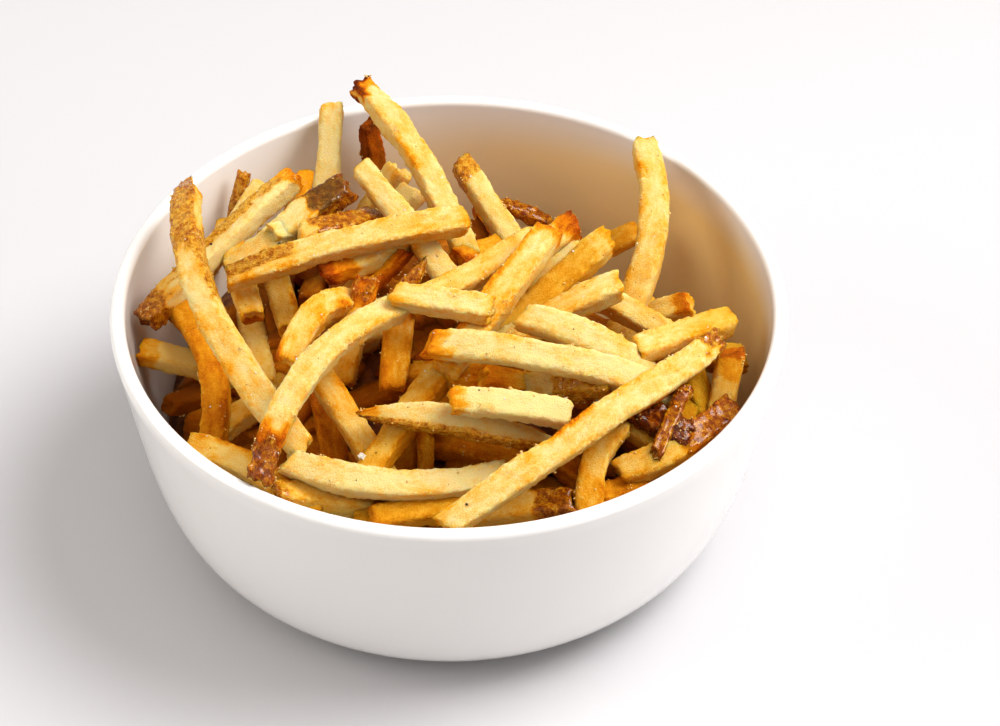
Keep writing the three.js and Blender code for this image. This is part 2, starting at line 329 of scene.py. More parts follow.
POTATO_BROWNING = [
    (0.00, (0.84, 0.685, 0.310)),
    (0.18, (0.85, 0.550, 0.145)),
    (0.36, (0.85, 0.380, 0.014)),
    (0.56, (0.70, 0.225, 0.004)),
    (0.76, (0.44, 0.090, 0.002)),
    (1.00, (0.14, 0.020, 0.001)),
]
# The olive value blends the flesh towards these darker tones: partly flesh steeped in oil, partly
# painted shade on fries that lie in shade.
SOAKED_AND_SHADED_TONES = [
    (0.00, (0.84, 0.500, 0.060)),
    (0.26, (0.72, 0.355, 0.014)),
    (0.60, (0.45, 0.150, 0.003)),
]
SKIN_TONES = [
    (0.22, (0.140, 0.018, 0.001)),
    (0.38, (0.400, 0.100, 0.001)),
    (0.50, (0.680, 0.270, 0.004)),
    (0.64, (0.920, 0.520, 0.060)),
]


SPECK_SPACING = 4.6


def potato(name, oily=0.0):
    """Fried potato with its skin, worn as the values on each vertex say."""
    material, nodes, links = new_material(name)
    shader = nodes["Principled BSDF"]

    def worn(attribute):
        reader = nodes.new("ShaderNodeAttribute")
        reader.attribute_name = attribute
        return reader.outputs["Fac"]

    place = nodes.new("ShaderNodeTexCoord").outputs["Object"]
    fibres = nodes.new("ShaderNodeCombineXYZ")
    for socket, layer, stretch in zip(fibres.inputs, ("along", "across", "through"), (0.45, 1, 1)):
        links.new(sum_up(nodes, links, "MULTIPLY", worn(layer), stretch), socket)
    fibres = fibres.outputs[0]

    patches = grain(nodes, links, place, 7)
    mottle = grain(nodes, links, fibres, 1.7, detail=3, lumpy=0.6)
    fine = grain(nodes, links, place, 0.42, detail=3, lumpy=0.7)
    browning = sum_up(nodes, links, "MULTIPLY_ADD", patches, 0.28, -0.14)
    browning = sum_up(nodes, links, "ADD", browning, worn("browning"))
    browning = sum_up(nodes, links, "MULTIPLY_ADD", mottle, 0.60, browning)
    browning = sum_up(nodes, links, "MULTIPLY_ADD", fine, 0.50, browning)
    browning = sum_up(nodes, links, "SUBTRACT", browning, 0.55)
    flesh = band(nodes, links, browning, POTATO_BROWNING)
    # painted shade in part: the olive value takes the flesh towards these darker tones
    soaked_and_shaded = band(nodes, links, browning, SOAKED_AND_SHADED_TONES)
    flesh = blend_colour(nodes, links, worn("olive"), flesh, soaked_and_shaded)

    specks = nodes.new("ShaderNodeTexVoronoi")
    specks.inputs["Scale"].default_value = 1 / (SPECK_SPACING * MM)
    links.new(place, specks.inputs["Vector"])
    speck = sum_up(nodes, links, "LESS_THAN", specks.outputs["Distance"], 0.035)
    flesh = blend_colour(nodes, links, speck, flesh, (0.16, 0.05, 0.01, 1))

    flecks = grain(nodes, links, place, 1.5, detail=4, lumpy=0.72)
    darkening = sum_up(nodes, links, "MULTIPLY_ADD", worn("browning"), -0.24, 0.13)
    skin_colour = band(nodes, links, sum_up(nodes, links, "ADD", flecks, darkening), SKIN_TONES)
    greening = sum_up(nodes, links, "MULTIPLY_ADD", patches, 1.6, 0.1)
    greening = sum_up(nodes, links, "MULTIPLY", worn("green"), greening)
    skin_colour = blend_colour(nodes, links, greening, skin_colour, (0.115, 0.066, 0.012, 1))
    edge = sum_up(nodes, links, "MULTIPLY_ADD", mottle, 1.5, -0.75)
    edge = sum_up(nodes, links, "ADD", worn("skin"), edge)
    sharp = nodes.new("ShaderNodeMapRange")
    sharp.inputs["From Min"].default_value = 0.36
    sharp.inputs["From Max"].default_value = 0.62
    links.new(edge, sharp.inputs["Value"])
    covered = sharp.outputs["Result"]
    links.new(blend_colour(nodes, links, covered, flesh, skin_colour), shader.inputs["Base Color"])

    gloss = sum_up(nodes, links, "MULTIPLY_ADD", fine, 0.30, 0.46 - oily)
    links.new(sum_up(nodes, links, "MULTIPLY_ADD", covered, -0.34, gloss), shader.inputs["Roughness"])
    shader.inputs["Specular IOR Level"].default_value = 0.34
    shader.inputs["Specular Tint"].default_value = (1.0, 0.62, 0.24, 1)
    links.new(sum_up(nodes, links, "MULTIPLY", covered, 0.6), shader.inputs["Coat Weight"])
    shader.inputs["Coat Roughness"].default_value = 0.16
    shader.inputs["Coat IOR"].default_value = 1.5
    shader.inputs["Subsurface Weight"].default_value = 0.5
    shader.inputs["Subsurface Radius"].default_value = (1.0, 0.55, 0.14)
    shader.inputs["Subsurface Scale"].default_value = 3.0 * MM

    wrinkles = grain(nodes, links, fibres, 1.2, detail=3, lumpy=0.65)
    creases = sum_up(nodes, links, "SUBTRACT", wrinkles, 0.5)
    creases = sum_up(nodes, links, "ABSOLUTE", creases)
    creases = sum_up(nodes, links, "MULTIPLY", creases, covered)
    relief = sum_up(nodes, links, "MULTIPLY_ADD", mottle, 0.6, fine)
    relief = sum_up(nodes, links, "MULTIPLY_ADD", creases, 8.0, relief)
    bump = nodes.new("ShaderNodeBump")
    bump.inputs["Strength"].default_value = 1.0
    bump.inputs["Distance"].default_value = 0.5 * MM
    links.new(relief, bump.inputs["Height"])
    links.new(bump.outputs["Normal"], shader.inputs["Normal"])
    return material


# ---- The fries that show -----------------------------------------------------------
# Bars about 7 mm wide and a little thinner, cut by hand, so no two are alike. They shrink
# and twist as they fry, their corners crumble a little, and their ends slant.

# First end x, y, z, second end x, y, z, sideways bow, upward bow, width, roll.
TOP_FRIES = {
    "topCross": [-55, -3.2, 73, 3, 12.4, 78.7, -2, 4, 6.9, 24],
    "tallLeft": [-66.5, 31, 77, -34.5, -51, 60, -10.5, 9, 7.1, 25],
    "upperLeft": [-40, 37, 74, -76.4, -4.3, 60.3, 0, 1, 6.9, 10],
    "leftBent": [-39, -35, 74, -14, -6, 60, 6, 8, 7, 16],
    "frontLeft": [-12, -21, 79, -44.2, -66.7, 66, -4, 7, 6.8, -18],
    "centreBlock": [-13, -22, 84, 10, -24, 80, 0, 0, 6.7, 20],
    "centreLong": [-5.5, -34, 78.7, 54, -31, 58.7, -4, 7, 7, 34],
    "upperCross": [-1, -35, 71, 25, 6, 81, 0, 1, 7.4, 10],
    "upperPale": [-10, -16, 75, 22, 16, 71, -3, 2, 6.5, 16],
    "frontLong": [-1.5, -72.5, 56.5, 65.5, -17, 63.8, -5, 7, 7.2, 30],
    "skinCrescent": [-22, -46.4, 67.3, 28, -44.5, 54.3, -1, 4, 6.7, 30],
    "centreShort": [0, -49, 74, 28, -46, 66, 0, 1.5, 6.8, 30],
    "frontLevel": [-39, -54, 60, 13, -49, 50, -6.8, 1, 6.9, 26],
}
INNER_FRIES = {
    "backTall": [-24, 75, 76, 9, 2, 57, 2.2, 6, 6.7, 0],
    "backLeftUp": [-31.8, 73, 71, -36, 41, 46, 0.5, 0, 6.3, 0],
    "backDark": [-22, 71, 66, -19.5, 68.5, 40, 0, 0, 5.4, 9],
    "backPale": [-23, 38, 76, 3, -4, 68, 0, 1, 6.6, 15],
    "backBitLeft": [-13.2, 55.4, 62, -22.7, 53.2, 48, 0, 0, 7, 0],
    "backBitRight": [-8.9, 47.9, 61, -16.9, 40.6, 56, 0, 0, 7, 0],
    "darkEnd": [-26, 28, 78, -55.5, 6, 65, 0, 1, 8, -6],
    "sliceByLeft": [-38, 43, 70, -44, 20, 62, 0, 0, 4.9, -2],
    "leftBackBrown": [-55, 52, 64, -60, 42, 40, 0, 0, 4, -1],
    "leftBackPale": [-49, 47, 64, -66, 22, 52, 0, 0, 6, -15],
    "paleTip": [-45, 13, 74, -14, 36, 60, 0, 0, 5.7, 12],
    "brownArch": [-38, 11.1, 75, -20, 28.1, 67, -3, 2.5, 6.2, 8],
    "skinTipUp": [3, 51, 68, 24, 12, 56, 0, 0, 6.5, 0],
    "darkBit": [5, 35, 60, 14, 18, 52, 0, 0, 5.7, 8],
    "orangeBit": [2, 12, 66, 16, 30, 58, 0, 0, 6.4, 11],
    "brownStick": [12.5, 66, 43, 30.5, 61, 38, 0, 0, 4.4, 8],
    "stickRest": [9, 67, 41, 25, 45, 26, 0, 0, 6.4, 7],
    "orangeBack": [51, 43, 50.5, 22, 30, 42.5, 0, 0, 6.4, -18],
    "backRightUp": [52, 54, 71, 38, -8, 44, 7, 6, 7.4, 0],
    "behindUp": [52, 10, 50, 48, 34, 38, 0, 0, 5.7, 4],
    "leftCurved": [-73, 7, 58, -58, -42, 50, 6, 5, 6.9, 9],
    "leftWall": [-77.8, -8, 54, -46, -12, 46, 0, 0, 6.6, 10],
    "rimLeft": [-61.5, -44, 55.2, -33, -62.2, 49.6, 1, 3, 6.9, 24],
    "lowLeft": [-58, -36, 50, -36, -12, 52, 0, 0, 6.4, 5],
    "stubLeft": [-49, -8, 65, -58, 26, 66, 0, 0, 6.7, -2],
    "stubRight": [-40, -6, 58, -48, 30, 60, 0, 0, 6.4, -9],
    "orangeLeft": [-31, -3, 74, -10, 14, 71, 0, 0, 6.2, 4],
    "orangeRight": [-12, 9, 72, -32, -4, 60, 0, 0, 6.2, -7],
    "brownTop": [-20, -7, 77, -27, -24, 58, 0, 0, 6.2, -11],
    "brownPoint": [-6, -6, 82, -15, -14, 70, 0, 0, 4.5, -17],
    "brownTip": [32.5, 19, 72.3, 8, 0, 62, 0, 1, 6.8, -5],
    "thinSlice": [33, 14, 70, 20, 1, 64, 0, 0, 4.4, -5],
    "forked": [40, 8, 76, 12, -16, 64, 0, 0, 7.5, -16],
    "midRightHigh": [42, -5, 72, 10, -20, 64, 0, 1, 6.9, -7],
    "midRightBent": [17.5, -24, 78, 50, -26, 58, -4, 6.5, 6.7, 26],
    "midRightLow": [34, 2, 66, 62, -12, 54, 0, 1, 6.7, 17],
    "linkBit": [49, -22, 62, 32, -26, 56, 0, 0, 5.7, -20],
    "stubCentre": [8, -35, 69, -10, -26, 62, 0, 0, 6.9, -7],
    "stubDown": [-1, -40, 60, 0, -16, 60, 0, 0, 6.4, 4],
    "stubSteep": [-14, -34, 64, -12, -12, 72, 0, 0, 6.9, 9],
    "underCrescent": [-2, -30.8, 66.5, -21, -57.8, 54.5, 0, 1, 6.9, -3],
    "midLeft": [-32, -30, 66, -14, -56, 50, 0, 1, 6.7, 6],
    "underShort": [6, -28, 62, 34, -30, 58, 0, 0, 6.4, 14],
    "skinChunk": [39, -35.8, 68, 16, -28.5, 58.5, 0, 0, 6.9, -20],
    "rightUpper": [45, -26, 69, 70, -7, 62, 0, 0, 6.9, 7],
    "rightBackBit": [62, 8, 54.6, 44, 10.5, 45, 0, 0, 6.4, -23],
    "rightOlive": [50, -3, 48.4, 75, -8, 49.4, 0, 0, 6.4, 13],
    "rightEnd": [70, -16, 60, 65, -34, 44, 0, 0, 6.7, -3],
    "rightPale": [58, -12, 56, 66, -32, 46, 0, 0, 6.4, -2],
    "rightUnder": [62, -20, 50, 50, -40, 46, 0, 0, 6.4, -5],
    "darkCrisp": [37.5, -31, 61, 58, -44.5, 56, 0, 0, 7.8, 11],
    "brownStrip": [57, -32.3, 63.5, 48.5, -50.8, 58, 0, 0, 3.8, -10],
    "frontRight": [40, -51.5, 52.5, 68.5, -31, 55, -4, 2, 6.9, 18],
    "lowRight": [40, -36, 57, 60, -48, 49, 0, 0, 6, 13],
    "frontDown": [41, -41, 59, 32.5, -63, 48, -3, 1, 6.9, -10],
    "darkBlock": [29, -60, 51, 4, -58, 46, 0, 0, 6.9, -16],
    "lowFrontRight": [48, -52, 50, 22, -58, 46, 0, 0, 6, -12],
    "frontTipLeft": [-41, -61, 56, -18, -56, 48, 0, 0, 6.5, 9],
    "frontLowLeft": [-31, -58, 49, -8, -52, 44, 0, 0, 6.4, 23],
    "frontDark": [-18, -50, 46, -21, -63, 47, 0, 0, 6, -11],
    "frontOrange": [-19, -65, 50, 8, -56, 45, 0, 2, 6.4, 19],
    "deepBrown": [-71, -18, 44, -50, -6, 42, 0, 0, 5.3, 0],
    "belowStub": [-46, -22, 54, -52, 12, 50, 0, 0, 6.5, 0],
    "underBent": [-37, -19, 60, -16, -8, 60, 0, 0, 6.1, 0],
    "stubDark": [-8, -26, 63, 6, -8, 58, 0, 0, 5.7, 0],
    "midLeftLow": [-31, -26, 54, -27, -48, 48, 0, 0, 6.5, 0],
    "smallUp": [-6, -38, 54, -6, -50, 46, 0, 0, 4.1, 0],
    "lowMiddle": [-6, -38, 50, 20, -46, 48, 0, 0, 6.5, 0],
    "frontDeep": [-10, -48, 44, 12, -50, 44, 0, 0, 6, 0],
    "rightDeep": [18, -36, 50, 34, -48, 45, 0, 0, 6.5, 0],
}

ROUND = None
LEFT = (1, 0)  # sides as seen looking along a fry from its first end
RIGHT = (-1, 0)
TOP = (0, 1)
UNDER = (0, -1)
TOP_LEFT = (0.7, 0.7)
TOP_RIGHT = (-0.7, 0.7)
LOW_RIGHT = (-0.7, -0.7)
START = -0.1  # just before a fry's first end, so that the end is covered too
FINISH = 1.1  # and just past its second end
ALL_OVER = (START, FINISH, ROUND)

# What each fry has besides plain flesh: finish, where along it, which side, how strong.
# Olive is partly painted shade, and some browning marks paint light or shade too.
MARKS = {
    "topCross": [("skin", START, 0.30, TOP_LEFT, 1.0), ("green", 0, 0.2, TOP_LEFT, 0.15)],
    "tallLeft": [
        ("skin", START, 0.34, TOP, 0.85),
        ("browning", START, 0.42, ROUND, 0.1),
        ("skin", 0.26, 0.56, LEFT, 0.75),
        ("browning", 0.5, FINISH, ROUND, 0.07),
        ("browning", START, 0.07, ROUND, 0.3),
    ],
    "upperLeft": [
        ("skin", 0.05, 0.8, TOP_RIGHT, 0.7),
        ("browning", START, 0.06, ROUND, 0.3),
        ("browning", 0.07, 0.8, ROUND, -0.14),
        ("browning", 0.88, FINISH, ROUND, 0.2),
        ("skin", 0.87, FINISH, ROUND, 0.9),
        ("crisp", 0.9, FINISH, ROUND, 0.5),
    ],
    "leftBent": [("browning", START, 0.08, LEFT, 0.5), ("browning", *ALL_OVER, 0.2)],
    "frontLeft": [
        ("skin", 0.88, FINISH, ROUND, 1.0),
        ("crisp", 0.86, FINISH, ROUND, 1.0),
        ("browning", 0.8, FINISH, ROUND, 0.4),
    ],
    "centreLong": [("browning", START, 0.07, ROUND, 0.3), ("browning", 0.08, FINISH, ROUND, -0.1)],
    "upperCross": [("browning", 0.1, 0.9, LEFT, 0.3), ("browning", 0.93, FINISH, ROUND, 0.3)],
    "upperPale": [("olive", *ALL_OVER, 0.2)],
    "frontLong": [
        ("skin", 0.94, FINISH, ROUND, 0.9),
        ("crisp", 0.92, FINISH, ROUND, 0.8),
        ("browning", 0.5, 0.95, LOW_RIGHT, 0.6),
        ("browning", 0.3, 0.5, LEFT, 0.5),
        ("browning", *ALL_OVER, 0.06),
    ],
    "skinCrescent": [
        ("skin", START, FINISH, RIGHT, 1.1),
        ("skin", START, FINISH, UNDER, 1.1),
        ("browning", START, 0.1, ROUND, 0.15),
        # painted light: its flesh is paled, for light on a face that lies in the shade of the fries
        # above it
        ("browning", 0.12, FINISH, ROUND, -0.12),
    ],
    "centreShort": [("browning", START, 0.10, ROUND, 0.2), ("browning", 0.12, FINISH, ROUND, -0.18)],
    "backTall": [
        ("browning", 0.1, FINISH, ROUND, 0.04),
        ("browning", START, 0.05, ROUND, 0.7),
        ("crisp", START, 0.05, ROUND, 0.7),
    ],
    "backLeftUp": [("browning", *ALL_OVER, -0.12), ("olive", *ALL_OVER, -0.3)],
    "backPale": [("browning", *ALL_OVER, -0.06)],
    "frontLevel": [("browning", *ALL_OVER, -0.10)],
    "backDark": [("browning", *ALL_OVER, 0.55), ("crisp", *ALL_OVER, 0.5)],
    "darkEnd": [
        ("skin", START, 0.30, ROUND, 1.1),
        ("green", -0.02, 0.30, TOP, 0.8),
        ("browning", START, 0.3, ROUND, 0.6),
    ],
    "sliceByLeft": [("browning", *ALL_OVER, 0.2)],
    "leftBackBrown": [("skin", START, 0.8, ROUND, 0.8), ("crisp", START, 0.6, ROUND, 0.2)],
    "leftBackPale": [("browning", *ALL_OVER, -0.05)],
    "brownArch": [("skin", 0.1, FINISH, TOP, 0.95), ("browning", 0.1, FINISH, TOP, 0.35)],
    "skinTipUp": [
        ("skin", START, 0.17, ROUND, 0.9),
        ("crisp", START, 0.15, ROUND, 0.3),
        ("browning", 0.9, FINISH, ROUND, 0.5),
    ],
    "darkBit": [("browning", *ALL_OVER, 0.75), ("crisp", *ALL_OVER, 0.6)],
    "orangeBit": [("browning", *ALL_OVER, 0.3)],
    "brownStick": [("skin", *ALL_OVER, 0.9), ("crisp", *ALL_OVER, 0.5), ("browning", *ALL_OVER, 0.3)],
    "stickRest": [("browning", *ALL_OVER, 0.3)],
    "orangeBack": [("browning", *ALL_OVER, 0.2)],
    "behindUp": [("browning", *ALL_OVER, 0.1), ("olive", *ALL_OVER, 0.3)],
    "leftCurved": [("browning", *ALL_OVER, 0.3), ("olive", 0, 1, UNDER, 0.3)],
    "leftWall": [("browning", START, 0.15, ROUND, 0.2), ("browning", 0.16, FINISH, ROUND, -0.2)],
    "rimLeft": [("browning", 0.1, 0.9, LEFT, 0.4)],
    "stubLeft": [("browning", START, 0.1, UNDER, 0.4), ("olive", *ALL_OVER, 0.2)],
    "stubRight": [("browning", START, 0.3, RIGHT, 0.5), ("olive", *ALL_OVER, 0.2)],
    "orangeLeft": [("browning", START, 0.3, ROUND, 0.42), ("crisp", START, 0.1, ROUND, 0.5)],
    "orangeRight": [("browning", START, 0.5, ROUND, 0.35), ("browning", START, 0.5, LEFT, 0.5)],
    "brownTop": [
        ("browning", START, 0.32, ROUND, 0.25),
        ("crisp", START, 0.32, ROUND, 0.6),
        ("skin", START, 0.25, TOP, 0.55),
    ],
    "brownPoint": [
        ("skin", START, 0.7, ROUND, 0.8),
        ("browning", *ALL_OVER, 0.2),
        ("crisp", START, 0.7, ROUND, 0.6),
    ],
    "brownTip": [("browning", START, 0.14, ROUND, 0.35), ("crisp", START, 0.2, ROUND, 0.5)],
    "forked": [
        # painted shade: the olive on its body stands for the shade it lies in
        ("olive", 0.12, FINISH, ROUND, 0.8),
        ("browning", 0.12, FINISH, ROUND, 0.15),
        ("browning", START, 0.1, ROUND, 0.2),
    ],
    "midRightBent": [("olive", 0, 1, UNDER, 0.2)],
    "stubCentre": [("browning", *ALL_OVER, 0.2)],
    "stubDown": [("browning", *ALL_OVER, 0.25)],
    "stubSteep": [("browning", *ALL_OVER, 0.2), ("olive", *ALL_OVER, 0.25)],
    "underCrescent": [("olive", *ALL_OVER, 0.35), ("browning", 0, 1, LEFT, 0.25)],
    "midLeft": [("browning", 0.1, 0.35, LEFT, 0.3)],
    "underShort": [("browning", *ALL_OVER, 0.25)],
    "skinChunk": [
        ("skin", START, 0.6, ROUND, 0.85),
        ("crisp", START, 0.6, ROUND, 0.7),
        # painted light: the negative browning lightens a fry that lies in shade
        ("browning", START, 0.7, ROUND, -0.32),
    ],
    "rightUpper": [("olive", 0.6, FINISH, ROUND, 0.5), ("browning", *ALL_OVER, 0.05)],
    "rightBackBit": [("browning", START, 0.2, TOP, 0.5)],
    "rightOlive": [("olive", *ALL_OVER, 0.7)],
    "rightEnd": [("browning", START, 0.1, ROUND, 0.5), ("browning", START, 0.3, TOP, 0.2)],
    "rightPale": [("olive", *ALL_OVER, 0.8), ("browning", *ALL_OVER, 0.15)],
    "darkCrisp": [("skin", *ALL_OVER, 0.75), ("crisp", *ALL_OVER, 1.1), ("browning", *ALL_OVER, 0.75)],
    "brownStrip": [("skin", *ALL_OVER, 0.8), ("browning", *ALL_OVER, 0.3), ("crisp", *ALL_OVER, 0.6)],
    "frontRight": [
        ("skin", 0.55, FINISH, TOP, 0.75),
        ("browning", 0.45, FINISH, ROUND, 0.4),
        ("crisp", 0.6, FINISH, TOP, 0.4),
    ],
    "lowRight": [("browning", *ALL_OVER, 0.15)],
    "darkBlock": [
        ("skin", START, 0.36, ROUND, 0.95),
        ("browning", START, 0.36, ROUND, 0.5),
        ("green", START, 0.3, ROUND, 0.3),
    ],
    "lowFrontRight": [("browning", *ALL_OVER, 0.15), ("crisp", *ALL_OVER, 0.4)],
    "frontTipLeft": [("skin", START, 0.1, ROUND, 0.8)],
    "frontLowLeft": [("browning", 0.85, FINISH, ROUND, 0.45)],
    "frontDark": [("olive", *ALL_OVER, 0.5)],
    "frontOrange": [("browning", *ALL_OVER, 0.1), ("olive", *ALL_OVER, 0.3)],
    # The fries from here to rightDeep lie low in the gaps; their dark browning is partly their own
    # colour, partly painted shade of the gaps.
    "deepBrown": [("browning", *ALL_OVER, 0.85)],
    "stubDark": [("browning", *ALL_OVER, 0.75)],
    "midLeftLow": [("browning", *ALL_OVER, 0.4)],
    "lowMiddle": [("browning", *ALL_OVER, 0.35)],
    "frontDeep": [("browning", *ALL_OVER, 0.6)],
    "rightDeep": [("browning", *ALL_OVER, 0.4)],
    # painted light: both bits are paled, for faces that lie in the shadow of backTall
    "backBitLeft": [("browning", *ALL_OVER, -0.2)],
    "backBitRight": [("browning", *ALL_OVER, -0.2)],
    "rightUnder": [("olive", *ALL_OVER, 0.7), ("browning", *ALL_OVER, 0.2)],
    "smallUp": [("browning", *ALL_OVER, 0.2)],
}
# Over what share of its length a fry narrows to a point at each end.
POINTED = {
    "skinCrescent": (0.30, 0.45),
    "brownPoint": (0.5, 0.0),
    "brownStick": (0.3, 0.3),
    "tallLeft": (0.06, 0),
}
SLANTED = {"tallLeft": (1.0, 0.2, -0.3, 0.0)}  # sideways and upright slant of each end

CORNER_POWER = 5.6  # how square the section is
FRY_FLATNESS = 0.84  # thickness over width
END_TAPER = 0.07
END_ROUNDING = 0.8  # the edges of an end are rounded over this length
END_ROUNDED = 0.06  # and lose this share of the width
SWELL = 0.13  # the width wanders by this share
SWELL_LENGTH = 13
SWAY = 0.7  # the middle line wanders by this
SWAY_LENGTH = 22
RAGGEDNESS = 1.1  # how far an end is torn
RAGGED_LENGTH = 1.8
BROWN_END_LENGTH = 2.2
POINT_LOSS = 0.85  # how much of its width a fry loses at a point
ON_THE_FACE = 1e-4  # what is this near to an end is on its face
BASE_BROWNING = 0.11
BLISTER_SIZE = 8
MARK_FADE = 0.04  # half the length over which a mark fades, as a share of the fry's
SIDE_FADE = (0.35, 0.75)  # a mark on one side fades between these shares of facing it
FRY_CELL = 0.78
FINISHES = ("skin", "browning", "olive", "green", "crisp")
LAYERS = ("browning", "skin", "olive", "green", "along", "across", "through")
CRUMB_RISE = 0.30  # places raised by more than this shed crumbs
CRUMB_CHANCE = 0.6
CRUMB_SEED = 5000
SHADE_FREE_HEIGHT = 72  # painted shade: fries above this are palest, and more golden and olive the deeper they lie
DEEPEST = 22  # and most golden, with the most painted shade, this far below it
DEPTH_SHADE_BROWNING = 0.05
DEPTH_SHADE_OLIVE = 0.5
crumbling_spots = []


def smooth_step(low, high, value):
    share = min(max((value - low) / (high - low), 0), 1)
    return share * share * (3 - 2 * share)


def straight_bar(length, width, cell):
    """A cube of side 1 whose faces are split into cells, and its vertices in a fixed order."""
    bar = bmesh.new()
    bmesh.ops.create_cube(bar, size=1)
    cells = [max(round(reach / cell), 3) for reach in (length, width, width)]
    for axis, count in enumerate(cells):
        edges = [e for e in bar.edges if abs(e.verts[0].co[axis] - e.verts[1].co[axis]) > 0.5]
        bmesh.ops.subdivide_edges(bar, edges=edges, cuts=count - 1, use_grid_fill=True)
    for kind in LAYERS:
        bar.verts.layers.float.new(kind)

    def cell_of(vert):
        return [round((vert.co[axis] + 0.5) * cells[axis]) for axis in range(3)]

    return bar, sorted(bar.verts, key=cell_of)


def mark_share(marks, kind, along, across, through, wander):
    """How far a vertex is covered by the marks of one kind."""
    most = 0
    for finish, first, last, side, strength in marks:
        if finish != kind:
            continue
        spot = along + wander
        cover = smooth_step(first - MARK_FADE, first + MARK_FADE, spot)
        cover *= smooth_step(-last - MARK_FADE, -last + MARK_FADE, -spot)
        if side:
            facing = across * side[0] + through * side[1]
            cover *= smooth_step(*SIDE_FADE, facing / max(math.hypot(across, through), 0.4) + wander)
        most = max(most, cover * strength, key=abs)
    return most


